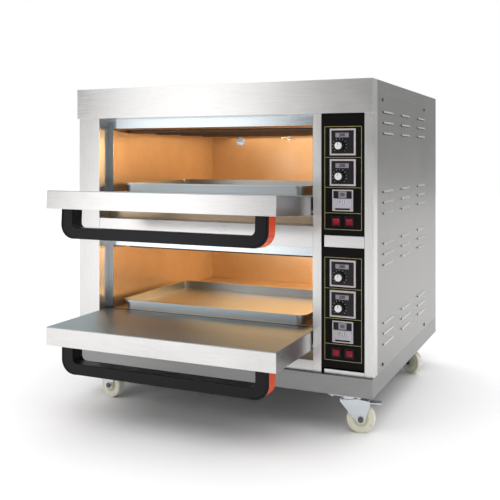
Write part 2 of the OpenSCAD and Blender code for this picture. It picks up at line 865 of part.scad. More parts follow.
module brake(k) {
    w = 2 * cheek_y - 3;
    color("slategray") on_caster(k) difference() {
        union() {
            rod_y(brake_x, -w / 2, w / 2, brake_z, brake_r);
            box([brake_x, -w / 2, brake_z - brake_t / 2], [brake_x + brake_l, w / 2, brake_z + brake_t / 2]);
        }
        rod_y(brake_x, -w, w, brake_z, brake_pin_r + pin_play);
    }
}

module fork_front_left() { fork(0); }
module fork_front_right() { fork(1); }
module fork_rear_left() { fork(2); }
module fork_rear_right() { fork(3); }
module wheel_front_left() { caster_wheel(0); }
module wheel_front_right() { caster_wheel(1); }
module wheel_rear_left() { caster_wheel(2); }
module wheel_rear_right() { caster_wheel(3); }
module brake_front_left() { brake(0); }
module brake_front_right() { brake(1); }

base_frame();
left_side_panel();
right_side_panel();
rear_cover();
top_cover();
canopy();
left_front_post();
middle_front_post();
right_front_post();
front_rails();
control_chassis();
control_strips();
control_panels();
chambers();
hearth_plates();
heating_elements();
insulation();
thermocouples();
lamps();
thermostats();
timers();
switch_housings();
steam_outlets();
cable_gland();
hinge_brackets();
caster_plates();
control_gear();
panel_screws();
door_lower_shell();
door_lower_panel();
door_lower_handle();
door_lower_trims();
door_upper_shell();
door_upper_panel();
door_upper_handle();
door_upper_trims();
tray_lower();
tray_upper();
knob_lower_top_heat();
knob_lower_bottom_heat();
knob_upper_top_heat();
knob_upper_bottom_heat();
timer_lower_tens();
timer_lower_units();
timer_upper_tens();
timer_upper_units();
rocker_lower_power();
rocker_lower_lamp();
rocker_upper_power();
rocker_upper_lamp();
fork_front_left();
fork_front_right();
fork_rear_left();
fork_rear_right();
wheel_front_left();
wheel_front_right();
wheel_rear_left();
wheel_rear_right();
brake_front_left();
brake_front_right();
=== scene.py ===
# %% [markdown]
# A two-deck bakery oven in brushed steel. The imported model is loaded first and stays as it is: it
# gives every place and size below. New pieces are modelled round it where a real edge, curve or
# small part matters, and every surface gets a material made of nodes.

# %% Load the frame
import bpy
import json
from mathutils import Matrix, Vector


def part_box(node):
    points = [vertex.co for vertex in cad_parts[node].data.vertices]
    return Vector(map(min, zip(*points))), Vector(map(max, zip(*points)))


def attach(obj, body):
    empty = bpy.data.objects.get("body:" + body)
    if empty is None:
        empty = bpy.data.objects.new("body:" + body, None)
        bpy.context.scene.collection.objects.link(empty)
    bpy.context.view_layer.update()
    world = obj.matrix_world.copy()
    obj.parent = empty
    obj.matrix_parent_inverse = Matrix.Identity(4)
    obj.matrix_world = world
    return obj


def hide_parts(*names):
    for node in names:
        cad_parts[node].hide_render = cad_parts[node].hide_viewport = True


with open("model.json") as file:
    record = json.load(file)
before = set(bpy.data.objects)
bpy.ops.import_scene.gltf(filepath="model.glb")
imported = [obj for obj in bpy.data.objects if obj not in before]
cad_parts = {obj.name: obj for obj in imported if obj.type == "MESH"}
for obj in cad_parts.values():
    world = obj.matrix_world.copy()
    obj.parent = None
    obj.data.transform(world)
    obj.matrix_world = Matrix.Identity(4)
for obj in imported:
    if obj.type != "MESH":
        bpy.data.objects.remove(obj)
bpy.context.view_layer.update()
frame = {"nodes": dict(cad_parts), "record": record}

# %% [markdown]
# The oven has two decks and four casters, so most of the work is written once and run for each.
# Blender counts in metres, and an oven is drawn in millimetres, so a size of the oven is written as
# a number of millimetres times MM. The studio at the end, with its lights and camera, is in metres.
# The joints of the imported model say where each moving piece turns.

# %% Words that the whole script uses
import json
import math
import bpy
import bmesh
from mathutils import Matrix, Vector

MM = 0.001
DECKS = ("lower", "upper")
HEATS = ("top", "bottom")
CORNERS = ("front_left", "front_right", "rear_left", "rear_right")
UPPER_TILT = 3.5  # degrees that the upper door stands above level


def joint(name):
    return next(j for j in frame["record"]["behaviour"]["joints"] if j["name"] == name)


# %% [markdown]
# Shader maths is easier to read as formulas than as a web of nodes. A small class wraps a node's
# output, and its operators add the Math nodes, so that a mask can be written as 1 - streaks * 0.5.

# %% A socket that can be written in formulas
class Value:
    def __init__(self, tree, socket):
        self.tree = tree
        self.socket = socket

    def math(self, operation, *others):
        node = self.tree.nodes.new("ShaderNodeMath")
        node.operation = operation
        for slot, item in zip(node.inputs, (self,) + others):
            if isinstance(item, Value):
                self.tree.links.new(item.socket, slot)
            else:
                slot.default_value = item
        return Value(self.tree, node.outputs[0])

    def plain(self, number):
        node = self.tree.nodes.new("ShaderNodeValue")
        node.outputs[0].default_value = number
        return Value(self.tree, node.outputs[0])

    def __add__(self, other):
        return self.math("ADD", other)

    __radd__ = __add__

    def __mul__(self, other):
        return self.math("MULTIPLY", other)

    __rmul__ = __mul__

    def __sub__(self, other):
        return self.math("SUBTRACT", other)

    def __rsub__(self, other):
        return self.plain(other).math("SUBTRACT", self)

    def clamp(self):
        return self.math("MAXIMUM", 0.0).math("MINIMUM", 1.0)

    def step(self, low, high):
        """A ramp that is 0 up to low and 1 from high on."""
        return ((self - low) * (1.0 / (high - low))).clamp()


print("formulas ready")

# %% [markdown]
# Every other node comes from one method, which takes the node's type, its settings and what goes
# into it. A material adds a few words of its own to it: noise, a blend of two colours and a bump.
# Patterns use object coordinates in metres, so a noise of scale 1000 has grains of a millimetre.

# %% A tree that makes its own nodes
class Nodes:
    def __init__(self, tree):
        self.tree = tree

    def node(self, kind, settings=None, output=0, **inputs):
        """Inputs go by name, or by number where two share a name: _6 is the input 6."""
        node = self.tree.nodes.new(kind)
        for key, choice in (settings or {}).items():
            setattr(node, key, choice)
        for key, item in inputs.items():
            slot = node.inputs[int(key[1:])] if key[0] == "_" else node.inputs[key]
            if isinstance(item, Value):
                self.tree.links.new(item.socket, slot)
            else:
                slot.default_value = item
        return Value(self.tree, node.outputs[output])


class Material(Nodes):
    def __init__(self, name, **constants):
        self.made = bpy.data.materials.new(name)
        self.made.use_nodes = True
        super().__init__(self.made.node_tree)
        self.shader = self.tree.nodes["Principled BSDF"]
        for key, number in constants.items():
            self.shader.inputs[key.replace("_", " ")].default_value = number
        self.place = self.node("ShaderNodeTexCoord", output="Object")

    def noise(self, scale, detail=3.0, roughness=0.6, stretch=(1, 1, 1)):
        place = self.node("ShaderNodeMapping", Vector=self.place, Scale=stretch)
        return self.node("ShaderNodeTexNoise", Vector=place, Scale=scale, Detail=detail,
                         Roughness=roughness)

    def blend(self, factor, first, second):
        return self.node("ShaderNodeMix", {"data_type": "RGBA"}, 2, _0=factor, _6=first, _7=second)

    def bump(self, height, distance, strength):
        return self.node("ShaderNodeBump", Height=height, Distance=distance, Strength=strength)

    def feed(self, **values):
        for key, item in values.items():
            self.tree.links.new(item.socket, self.shader.inputs[key.replace("_", " ")])
        return self.made


print("shader tools ready")

# %% [markdown]
# Brushed stainless steel covers most of the oven. Its look comes from long fine scratches that run
# one way: they make narrow streaks in roughness and a faint bump, over a soft mottle of cleaner and
# duller areas. One function makes it, with the brushing direction as a stretch of the noise.

# %% Steel
ALONG_X = (0.02, 1.0, 1.0)
ALONG_Y = (1.0, 0.02, 1.0)
ALONG_Z = (1.0, 1.0, 0.02)
NO_GRAIN = (1, 1, 1)


def grey(value, warm=0.0):
    return (value + warm, value, value - warm, 1.0)


def steel(name, light, dark, rough, brushed=ALONG_X):
    finish = Material(name, Metallic=1.0)
    streaks = finish.noise(900.0, 4.0, 0.7, brushed)
    fine = finish.noise(2600.0, 2.0, 0.5, brushed)
    mottle = finish.noise(5.0, 3.0, 0.55)
    worn = (streaks * 0.6 + mottle * 0.4).step(0.3, 0.7)
    return finish.feed(
        Base_Color=finish.blend(worn, dark, light),
        Roughness=(streaks * 0.12 + mottle * 0.1 + (rough - 0.1)).clamp(),
        Normal=finish.bump(streaks * 0.6 + fine * 0.4, 0.03 * MM, 0.25))


front_steel = steel("front_steel", grey(0.72, 0.008), grey(0.55, 0.008), 0.29)
base_steel = steel("base_steel", grey(0.32), grey(0.23), 0.36)
side_steel = steel("side_steel", grey(0.35, 0.006), grey(0.25, 0.005), 0.33, ALONG_Z)
post_steel = steel("post_steel", grey(0.72, 0.008), grey(0.55, 0.008), 0.30, ALONG_Z)
# The louvre hoods' steel is a much lighter copy of the side steel, brushed the other way: its extra
# brightness is a painted highlight.
louvre_steel = steel("louvre_steel", grey(0.80), grey(0.70), 0.30, ALONG_Y)
top_steel = steel("top_steel", grey(0.36, 0.006), grey(0.26, 0.005), 0.36)
inner_steel = steel("inner_steel", (0.43, 0.49, 0.51, 1), (0.33, 0.39, 0.41, 1), 0.42)
plate_steel = steel("galvanised_steel", grey(0.42), grey(0.3), 0.5)
dark_steel = steel("dark_steel", grey(0.16), grey(0.10), 0.36)
bright_steel = steel("bright_steel", grey(0.82), grey(0.7), 0.18)
lip_steel = steel("lip_steel", (0.60, 0.65, 0.68, 1), (0.48, 0.53, 0.56, 1), 0.2)
tray_metal = steel("tray_aluminium", (0.56, 0.59, 0.61, 1), (0.45, 0.48, 0.50, 1), 0.33, NO_GRAIN)
print("steel finishes made")

# %% [markdown]
# The chamber walls' steel is tinted straw and brown in soft clouds, with fine specks in them: the
# clouds and specks are stains, and the warm straw tone is partly a painted glow of the chamber's
# warm light. The hearth is the same steel, darker and more stained, and so are the heating
# elements, which are nearly black. Less metallic than clean steel, all of them keep their colour
# under the warm lamps.

# %% Tinted steel: stains, and the chamber walls' painted glow
def tinted(name, base_tone, stain, rough):
    finish = Material(name, Metallic=0.55)
    clouds = finish.noise(7.0, 5.0, 0.6)
    specks = finish.noise(160.0, 3.0, 0.6)
    streaks = finish.noise(700.0, 3.0, 0.6, ALONG_X)
    stained = (clouds * 0.75 + specks * 0.25).step(0.38, 0.68)
    return finish.feed(
        Base_Color=finish.blend(stained, base_tone, stain),
        Roughness=(clouds * 0.2 + streaks * 0.1 + (rough - 0.15)).clamp(),
        Normal=finish.bump(streaks * 0.7 + specks * 0.3, 0.05 * MM, 0.3))


# The chamber walls' warm straw tone is partly a painted glow of the warm chamber light; the clouds in
# it are stains.
chamber_steel = tinted("chamber_steel", (0.70, 0.54, 0.38, 1), (0.60, 0.44, 0.29, 1), 0.34)
hearth_steel = tinted("hearth_steel", (0.52, 0.38, 0.27, 1), (0.30, 0.20, 0.13, 1), 0.42)
heater_metal = tinted("heater_metal", (0.10, 0.085, 0.08, 1), (0.20, 0.12, 0.08, 1), 0.55)
print("heat-tinted finishes made")

# %% [markdown]
# Plastics: satin black for the handles and housings, dark red for the switches, white and silver
# for the dials, and orange-red for the ends of the handles. The gold lines and the grey displays
# are made the same way. Moulded plastic has a very fine grain and a slight unevenness of gloss.

# %% Plastic
def plastic(name, colour, rough, vary=0.85, coat=0.0, gloss=0.5):
    finish = Material(name, Coat_Weight=coat, Coat_Roughness=0.12, Specular_IOR_Level=gloss)
    moulded = finish.noise(1400.0, 2.0, 0.5)
    uneven = finish.noise(30.0, 3.0, 0.6)
    darker = tuple(c * vary for c in colour[:3]) + (1.0,)
    return finish.feed(
        Base_Color=finish.blend(uneven.step(0.35, 0.65), darker, colour),
        Roughness=(uneven * 0.16 + (rough - 0.08)).clamp(),
        Normal=finish.bump(moulded, 0.02 * MM, 0.4))


handle_black = plastic("handle_black", (0.005, 0.005, 0.007, 1), 0.32, 0.8, gloss=0.2)
trim_orange = plastic("trim_orange", (0.86, 0.075, 0.008, 1), 0.3, 0.92, coat=0.3)
panel_black = plastic("panel_black", (0.003, 0.0025, 0.0025, 1), 0.40, 0.8, gloss=0.1)
housing_black = plastic("housing_black", (0.004, 0.004, 0.005, 1), 0.4, gloss=0.25)
face_black = plastic("face_black", (0.009, 0.007, 0.010, 1), 0.34, 0.85, gloss=0.25)
bezel_silver = plastic("bezel_silver", (0.60, 0.54, 0.53, 1), 0.34, 0.92)
cap_white = plastic("cap_white", (0.83, 0.83, 0.82, 1), 0.25, 0.97, coat=0.3)
digit_white = plastic("digit_white", (0.86, 0.85, 0.83, 1), 0.4, 0.96)
rocker_red = plastic("rocker_red", (0.30, 0.002, 0.02, 1), 0.24, 0.6, gloss=0.3)
gear_white = plastic("gear_white", (0.72, 0.69, 0.62, 1), 0.45)
gold_print = plastic("gold_print", (0.46, 0.40, 0.16, 1), 0.4)
lcd_grey = plastic("lcd_grey", (0.30, 0.27, 0.31, 1), 0.3)
band_grey = plastic("band_grey", (0.50, 0.48, 0.55, 1), 0.4, 0.9)
hub_cream = plastic("hub_cream", (0.66, 0.64, 0.42, 1), 0.4)
print("plastics made")

# %% [markdown]
# Four more finishes are used in one place each. The ivory nylon of the wheels picks up dull
# patches, zinc plate on the casters is a bluish bright metal, the mineral blanket is a matt yellow
# fibre, and the lamps' glass glows through faint ribs.

# %% Nylon, zinc, mineral blanket and lamp glass
def nylon():
    finish = Material("wheel_nylon")
    dirt = finish.noise(55.0, 4.0, 0.6).step(0.56, 0.78)
    grain = finish.noise(900.0, 2.0, 0.5)
    return finish.feed(
        Base_Color=finish.blend(dirt, (0.84, 0.82, 0.68, 1), (0.66, 0.63, 0.50, 1)),
        Roughness=(dirt * 0.2 + 0.34).clamp(),
        Normal=finish.bump(grain, 0.03 * MM, 0.4))


def zinc():
    finish = Material("zinc_plate", Metallic=0.9)
    spangle = finish.noise(220.0, 3.0, 0.7)
    cloud = finish.noise(26.0, 3.0, 0.6)
    return finish.feed(
        Base_Color=finish.blend(cloud.step(0.3, 0.7), (0.60, 0.65, 0.69, 1), (0.66, 0.69, 0.71, 1)),
        Roughness=(spangle * 0.12 + 0.24).clamp(),
        Normal=finish.bump(spangle, 0.01 * MM, 0.2))


def blanket():
    finish = Material("mineral_blanket", Roughness=0.95)
    fibre = finish.noise(420.0, 4.0, 0.8, (1.0, 0.2, 1.0))
    return finish.feed(
        Base_Color=finish.blend(fibre, (0.55, 0.50, 0.32, 1), (0.75, 0.71, 0.52, 1)),
        Normal=finish.bump(fibre, 0.6 * MM, 0.8))


def lens():
    finish = Material("lamp_lens", Emission_Strength=2.6, Roughness=0.25)
    ribs = finish.noise(180.0, 2.0, 0.4)
    return finish.feed(
        Base_Color=finish.blend(ribs, (0.95, 0.85, 0.65, 1), (0.9, 0.75, 0.5, 1)),
        Emission_Color=finish.blend(ribs, (1.0, 0.70, 0.36, 1), (1.0, 0.78, 0.48, 1)),
        Normal=finish.bump(ribs, 0.2 * MM, 0.5))


wheel_nylon = nylon()
zinc_plate = zinc()
mineral_blanket = blanket()
lamp_lens = lens()
print("materials:", len(bpy.data.materials))

# %% [markdown]
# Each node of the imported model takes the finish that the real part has. Fixed pieces are named one
# by one. Moving pieces come in sets with the same first or last word, so those are matched by it.

# %% Give every node its finish
NAMED = {
    "base_frame": base_steel, "left_side_panel": side_steel, "right_side_panel": side_steel,
    "rear_cover": side_steel, "top_cover": top_steel, "canopy": front_steel,
    "left_front_post": post_steel, "middle_front_post": post_steel,
    "right_front_post": post_steel, "front_rails": front_steel, "control_strips": front_steel,
    "control_chassis": plate_steel, "control_panels": panel_black, "chambers": chamber_steel,
    "hearth_plates": hearth_steel, "heating_elements": heater_metal,
    "insulation": mineral_blanket, "thermocouples": bright_steel, "lamps": lamp_lens,
    "thermostats": bezel_silver, "timers": bezel_silver, "switch_housings": housing_black,
    "steam_outlets": bright_steel, "cable_gland": housing_black, "hinge_brackets": plate_steel,
    "caster_plates": zinc_plate, "control_gear": gear_white, "panel_screws": bright_steel,
}
FIRST_WORD = {"tray_": tray_metal, "fork_": zinc_plate, "brake_": zinc_plate, "wheel_": wheel_nylon}
LAST_WORD = {
    "_shell": front_steel, "_panel": inner_steel, "_handle": handle_black, "_trims": trim_orange,
    "_heat": cap_white, "_tens": digit_white, "_units": digit_white, "_power": rocker_red,
    "_lamp": rocker_red,
}


def finish_of(node):
    if node in NAMED:
        return NAMED[node]
    for word, made in FIRST_WORD.items():
        if node.startswith(word):
            return made
    return next(made for word, made in LAST_WORD.items() if node.endswith(word))


for node, cad in frame["nodes"].items():
    cad.data.materials.clear()
    cad.data.materials.append(finish_of(node))
print("finished nodes:", len(frame["nodes"]))

# %% [markdown]
# Folded sheet and moulded parts never end in a perfectly sharp edge: the bend or the mould leaves
# a small radius that catches the light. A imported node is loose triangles, so a copy of it is merged
# and its flat faces are joined, then a Bevel modifier rounds every edge sharper than a set angle.
# A Weighted Normal modifier then keeps the large flat faces evenly shaded up to those edges.

# %% Round the edges of a copy
SHARP = 35  # degrees between two faces from which their edge counts as an edge
MERGE = 0.002 * MM
FLAT = math.radians(0.5)
BODY_OF = {node: body for body, nodes in frame["record"]["behaviour"]["bodies"].items()
           for node in nodes}


def only(*objects):
    """Select these objects and no other; the last one is active."""
    bpy.ops.object.select_all(action="DESELECT")
    for item in objects:
        item.select_set(True)
    bpy.context.view_layer.objects.active = objects[-1]


def even_shading(piece, angle=SHARP):
    only(piece)
    bpy.ops.object.shade_smooth_by_angle(angle=math.radians(angle))
    even = piece.modifiers.new("even", "WEIGHTED_NORMAL")
    even.keep_sharp = True
    bpy.ops.object.modifier_apply(modifier="even")
    return piece


def finish_bevel(piece, width, segments=2, angle=SHARP):
    only(piece)
    rounding = piece.modifiers.new("rounding", "BEVEL")
    rounding.width = width
    rounding.segments = segments
    rounding.limit_method = "ANGLE"
    rounding.angle_limit = math.radians(angle)
    rounding.use_clamp_overlap = True
    bpy.ops.object.modifier_apply(modifier="rounding")
    return even_shading(piece, angle)


def copy_of(node, name, width, segments=2, angle=SHARP):
    cad = frame["nodes"][node]
    piece = bpy.data.objects.new(name, cad.data.copy())
    bpy.context.scene.collection.objects.link(piece)
    piece.data.materials.clear()
    piece.data.materials.append(finish_of(node))
    only(piece)
    bpy.ops.object.mode_set(mode="EDIT")
    bpy.ops.mesh.select_all(action="SELECT")
    bpy.ops.mesh.remove_doubles(threshold=MERGE)
    bpy.ops.mesh.dissolve_limited(angle_limit=FLAT)
    bpy.ops.object.mode_set(mode="OBJECT")
    if width:
        finish_bevel(piece, width, segments, angle)
    else:
        even_shading(piece, angle)
    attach(piece, BODY_OF[node])
    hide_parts(node)
    return piece


print("edge tools ready")

# %% [markdown]
# The radius follows the real part: thin sheet is bent tightly, door shells a little wider, and
# moulded blocks widest. Each number is the width of the rounding in millimetres.

# %% Sheet metal and housings with rounded edges
ROUNDED = {
    "canopy": 0.9, "left_front_post": 0.6, "middle_front_post": 0.6, "right_front_post": 0.6,
    "front_rails": 0.6, "base_frame": 0.7, "top_cover": 0.7, "rear_cover": 0.7,
    "left_side_panel": 0.5, "control_strips": 0.6, "control_panels": 0.3, "hearth_plates": 0.8,
    "door_lower_shell": 1.2, "door_upper_shell": 1.2, "door_lower_panel": 0.9,
    "door_upper_panel": 0.9, "thermostats": 0.7, "timers": 0.6, "switch_housings": 0.5,
    "caster_plates": 0.6, "cable_gland": 0.6, "steam_outlets": 0.4, "control_gear": 1.5,
    "hinge_brackets": 0.6,
}
for node, width in ROUNDED.items():
    made = copy_of(node, node + "_rounded", width * MM)
    print(node, len(made.data.polygons), "faces")

# %% [markdown]
# Three nodes are only merged and smoothed, because a bevel would spoil their fine shapes. Two of
# them get a second finish on some faces, picked by where the face is and which way it looks: the
# louvre hoods are brushed the other way and painted lighter where they face up and out, a painted
# highlight, and the bare rim round a chamber's mouth is plain steel, paler than its walls, whose
# warm tone is partly a painted glow.

# %% Heating elements, louvred panel and chamber walls
HOOD_OUT = 0.3 * MM
MOUTH_DEPTH = 6 * MM


def second_finish(piece, material, belongs):
    piece.data.materials.append(material)
    chosen = [face for face in piece.data.polygons if belongs(face)]
    for face in chosen:
        face.material_index = 1
    print(piece.name, len(chosen), "faces of", material.name)


copy_of("heating_elements", "heating_elements_smooth", 0.0)
panel_plane = -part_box("left_side_panel")[0][0]
# Hood faces that stand out of the panel and face up or outwards get the lighter steel, a painted
# highlight.
second_finish(copy_of("right_side_panel", "right_side_panel_smooth", 0.0), louvre_steel,
              lambda face: face.center.x > panel_plane + HOOD_OUT
              and face.normal.x + face.normal.z > 0.2)
mouth_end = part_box("chambers")[0][1] + MOUTH_DEPTH
second_finish(copy_of("chambers", "chamber_walls", 0.0), lip_steel,
              lambda face: face.center.y < mouth_end)

# %% [markdown]
# The handles are thick black moulded bars. The section is nearly a rounded rectangle, so the long
# edges get a wide bevel of several segments. The orange end pieces are set a little behind the
# front of the bar, and a thin black lip covers them there: it is a copy of the same piece, pressed
# flat against the front. A tray is pressed from one sheet, so its rim gets a wide radius too.

# %% Handles and trays
LIP = 2.5 * MM
SOFT_EDGES = 50  # degrees, so that the bend of a bar or of a tray's corner isn't bevelled


def cut_by_lip(piece, deck, keep_front):
    """Keep only the lip at the front of a piece, or only what lies behind the lip."""
    out = Vector((0, -1, 0))
    if deck == "upper":
        out = Matrix.Rotation(math.radians(-UPPER_TILT), 3, "X") @ out
    reach = [v.co.dot(out) for v in piece.data.vertices]
    front, back = max(reach), min(reach)
    middle = (front + back) / 2
    only(piece)
    bpy.ops.object.mode_set(mode="EDIT")
    shape = bmesh.from_edit_mesh(piece.data)
    for v in shape.verts:
        v.select_set((v.co.dot(out) > middle) != keep_front)
    shape.select_flush(True)
    bmesh.update_edit_mesh(piece.data)
    move = (front - back - LIP) if keep_front else -LIP
    bpy.ops.transform.translate(value=out * move)
    bpy.ops.object.mode_set(mode="OBJECT")


def handle(deck):
    copy_of(f"door_{deck}_handle", f"handle_{deck}", 11 * MM, 6, SOFT_EDGES)
    trims = copy_of(f"door_{deck}_trims", f"handle_trims_{deck}", 0.0)
    lips = trims.copy()
    lips.data = trims.data.copy()
    bpy.context.scene.collection.objects.link(lips)
    lips.name = f"handle_lips_{deck}"
    lips.data.materials[0] = handle_black
    cut_by_lip(trims, deck, False)
    cut_by_lip(lips, deck, True)
    finish_bevel(trims, 1.0 * MM, 2, SOFT_EDGES)
    finish_bevel(lips, 0.8 * MM, 2, SOFT_EDGES)
    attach(lips, f"door_{deck}")


for deck in DECKS:
    handle(deck)
    copy_of(f"tray_{deck}", f"baking_tray_{deck}", 2.6 * MM, 4, SOFT_EDGES)
print("handles and trays:", 2 * len(DECKS))

# %% [markdown]
# The casters' forks are stamped and nearly sharp. A wheel is turned nylon whose tread is rounded
# wherever its outline breaks by more than 20 degrees, and a brake pedal is a pressed plate with
# soft edges. Only the front casters have a brake.

# %% Forks, wheels and brake pedals
for corner in CORNERS:
    copy_of(f"fork_{corner}", f"caster_fork_{corner}", 0.5 * MM)
    copy_of(f"wheel_{corner}", f"caster_wheel_{corner}", 0.8 * MM, 3, 20)
for corner in CORNERS[:2]:
    copy_of(f"brake_{corner}", f"brake_pedal_{corner}", 0.9 * MM, 3)

# %% [markdown]
# Small parts on the front are modelled from primitives. A box or a cylinder is added at its size
# and place, its transform is applied so that the place is in the mesh, and it is joined with its
# neighbours of the same finish where they form one moulding or one print.

# %% Boxes and cylinders with applied places
def settle(piece, name, material):
    piece.name = name
    bpy.ops.object.transform_apply(location=True, rotation=True, scale=True)
    piece.data.materials.clear()
    piece.data.materials.append(material)
    return piece


def block(name, low, high, material, width=0.0):
    low, high = Vector(low), Vector(high)
    bpy.ops.object.select_all(action="DESELECT")
    bpy.ops.mesh.primitive_cube_add(size=1, location=(low + high) / 2, scale=high - low)
    piece = settle(bpy.context.object, name, material)
    return finish_bevel(piece, width) if width else piece


def drum(name, centre, radius, length, material, axis="Y", sides=32, width=0.0, segments=2):
    turn = {"X": (0, math.pi / 2, 0), "Y": (math.pi / 2, 0, 0), "Z": (0, 0, 0)}[axis]
    bpy.ops.object.select_all(action="DESELECT")
    bpy.ops.mesh.primitive_cylinder_add(vertices=sides, radius=radius, depth=length,
                                        location=centre, rotation=turn)
    piece = settle(bpy.context.object, name, material)
    if width:
        return finish_bevel(piece, width, segments)
    only(piece)
    bpy.ops.object.shade_smooth_by_angle(angle=math.radians(SHARP))
    return piece


def joined(name, pieces):
    only(*pieces[1:], pieces[0])
    bpy.ops.object.join()
    pieces[0].name = name
    return pieces[0]


def place(piece, body, slot, *nodes):
    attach(piece, body)
    if nodes:
        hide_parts(*nodes)
    return piece


print("modelling tools ready")

# %% [markdown]
# The control panel is a black plate with thin gold lines round four fields: two thermostats, a
# timer and two switches. The lines are printed on the real plate, and here they are bars a hair
# thick, so that they stay crisp from close by. The top knob's axis gives their height.

# %% Gold lines round the fields of the panel
LINE = 1.1 * MM
PRINT = 0.15 * MM
FIELDS = (81, 79, 67, 43)  # heights in millimetres, from the top
FIELD_HALF = 50 * MM
KNOB_LEFT = 8 * MM  # how far a knob stands left of the middle of its field
KNOB_DOWN = 10 * MM  # and how far below it
plate_low, plate_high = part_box("control_panels")
panel_y = plate_low[1]
panel_mid = (plate_low[0] + plate_high[0]) / 2


def gold_bar(x_low, x_high, z_low, z_high):
    half = LINE / 2
    return block("line", (x_low - half, panel_y - PRINT, z_low - half),
                 (x_high + half, panel_y, z_high + half), gold_print)


def gold_lines(deck):
    knob_z = joint(f"knob_{deck}_top_heat_turn")["pos_m"][2]
    levels = [knob_z + KNOB_DOWN + FIELDS[0] / 2 * MM]
    for field in FIELDS:
        levels.append(levels[-1] - field * MM)
    half = FIELD_HALF - LINE / 2
    lines = [gold_bar(panel_mid - half, panel_mid + half, level, level) for level in levels]
    for x in (panel_mid - FIELD_HALF, panel_mid + FIELD_HALF):
        lines.append(gold_bar(x, x, levels[-1], levels[0]))
    place(joined(f"gold_lines_{deck}", lines), "root", "panel_black")
    return levels


for deck in DECKS:
    print(deck, "fields at", [round(v, 4) for v in gold_lines(deck)])

# %% [markdown]
# A thermostat is a silver bezel with a black face, a small grey display above and a dial below.
# The bezel is packed already. The dial's ticks are made upright at their places on a circle, and
# each is turned about its own middle until it points at the knob's axis.

# %% Thermostat faces
BEZEL = 4 * MM  # how far a bezel stands out of the panel
FACE_HALF = 30.5 * MM
DISPLAY_LOW, DISPLAY_HIGH = (-19, 12), (17, 24)  # millimetres across and up from the face's middle
TICKS = 11
FIRST_TICK, DIAL_TURN = 225, 270
TICK_RING = 18.5 * MM
TICK_HALF = Vector((0.3, 0.15, 1.3)) * MM


def thermostat_face(deck, heat):
    x, y, z = joint(f"knob_{deck}_{heat}_heat_turn")["pos_m"]
    mid_x, mid_z = x + KNOB_LEFT, z + KNOB_DOWN
    front = panel_y - BEZEL
    face = block("face", (mid_x - FACE_HALF, front - 0.5 * MM, mid_z - FACE_HALF),
                 (mid_x + FACE_HALF, front + 0.5 * MM, mid_z + FACE_HALF), face_black, 0.3 * MM)
    place(face, "root", "housing_black").name = f"thermostat_face_{deck}_{heat}"
    display = block(
        "display", (mid_x + DISPLAY_LOW[0] * MM, front - 0.8 * MM, mid_z + DISPLAY_LOW[1] * MM),
        (mid_x + DISPLAY_HIGH[0] * MM, front, mid_z + DISPLAY_HIGH[1] * MM), lcd_grey, 0.25 * MM)
    place(display, "root", "bezel_grey").name = f"thermostat_display_{deck}_{heat}"
    ticks = []
    for number in range(TICKS):
        angle = math.radians(FIRST_TICK - DIAL_TURN / (TICKS - 1) * number)
        at = Vector((x + TICK_RING * math.cos(angle), front - 0.6 * MM,
                     z + TICK_RING * math.sin(angle)))
        tick = block("tick", at - TICK_HALF, at + TICK_HALF, cap_white)
        only(tick)
        bpy.ops.transform.rotate(value=angle - math.pi / 2, orient_axis="Y", center_override=at)
        bpy.ops.object.transform_apply(location=True, rotation=True, scale=True)
        ticks.append(tick)
    place(joined(f"dial_ticks_{deck}_{heat}", ticks), "root", "digit_white")


for deck in DECKS:
    for heat in HEATS:
        thermostat_face(deck, heat)
print("thermostats:", len(DECKS) * len(HEATS))

# %% [markdown]
# A temperature knob is a fluted black skirt with a raised light cap, on a steel shaft. The skirt
# starts as a cylinder of 48 sides. Every fourth side face is inset a little and pushed in, which
# leaves twelve flutes for the fingers. The cap is a second cylinder with a rounded rim, and a slim
# black pointer lies on it.

# %% Knobs
SKIRT_RADIUS, SKIRT_DEEP = 14 * MM, 8 * MM
CAP_RADIUS = 9.5 * MM
POINTER_HALF = 0.6 * MM


def fluted_skirt(centre):
    base = drum("skirt", centre, SKIRT_RADIUS, SKIRT_DEEP, housing_black, sides=48)
    only(base)
    bpy.ops.object.mode_set(mode="EDIT")
    shape = bmesh.from_edit_mesh(base.data)

    def angle(face):
        middle = face.calc_center_median()
        return math.atan2(middle.z - centre[2], middle.x - centre[0])

    sides = sorted((face for face in shape.faces if abs(face.normal.y) < 0.5), key=angle)
    flutes = sides[::4]
    for face in shape.faces:
        face.select_set(face in flutes)
    bmesh.update_edit_mesh(base.data)
    bpy.ops.mesh.inset(thickness=0.2 * MM, use_individual=True)
    bpy.ops.transform.shrink_fatten(value=-0.6 * MM)
    bpy.ops.object.mode_set(mode="OBJECT")
    return finish_bevel(base, 0.5 * MM, 2, 60)


def knob(deck, heat):
    name = f"knob_{deck}_{heat}_heat"
    x, y, z = joint(name + "_turn")["pos_m"]
    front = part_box(name)[0][1]
    back = panel_y - BEZEL - 0.8 * MM
    skirt_front = back - SKIRT_DEEP
    skirt = fluted_skirt((x, back - SKIRT_DEEP / 2, z))
    cap = drum("cap", (x, (front + skirt_front) / 2, z), CAP_RADIUS, skirt_front - front,
               cap_white, width=1.2 * MM, segments=3)
    pointer = block("pointer", (x - POINTER_HALF, front - 0.15 * MM, z + 1 * MM),
                    (x + POINTER_HALF, front + 0.4 * MM, z + 9 * MM), housing_black)
    shaft = drum("shaft", (x, back + 4 * MM, z), 3 * MM, 8 * MM, bright_steel, sides=20)
    for part, label in ((cap, "cap"), (pointer, "pointer"), (shaft, "shaft")):
        place(part, name, "knob_white").name = f"{name}_{label}"
    place(skirt, name, "knob_white", name).name = f"{name}_skirt"


for deck in DECKS:
    for heat in HEATS:
        knob(deck, heat)
print("knobs:", len(DECKS) * len(HEATS))

# %% [markdown]
# Numbers are the only lettering on the oven. A number is a text object, stood up to face the front
# and given a hair of thickness, and it becomes a mesh before its place is applied.

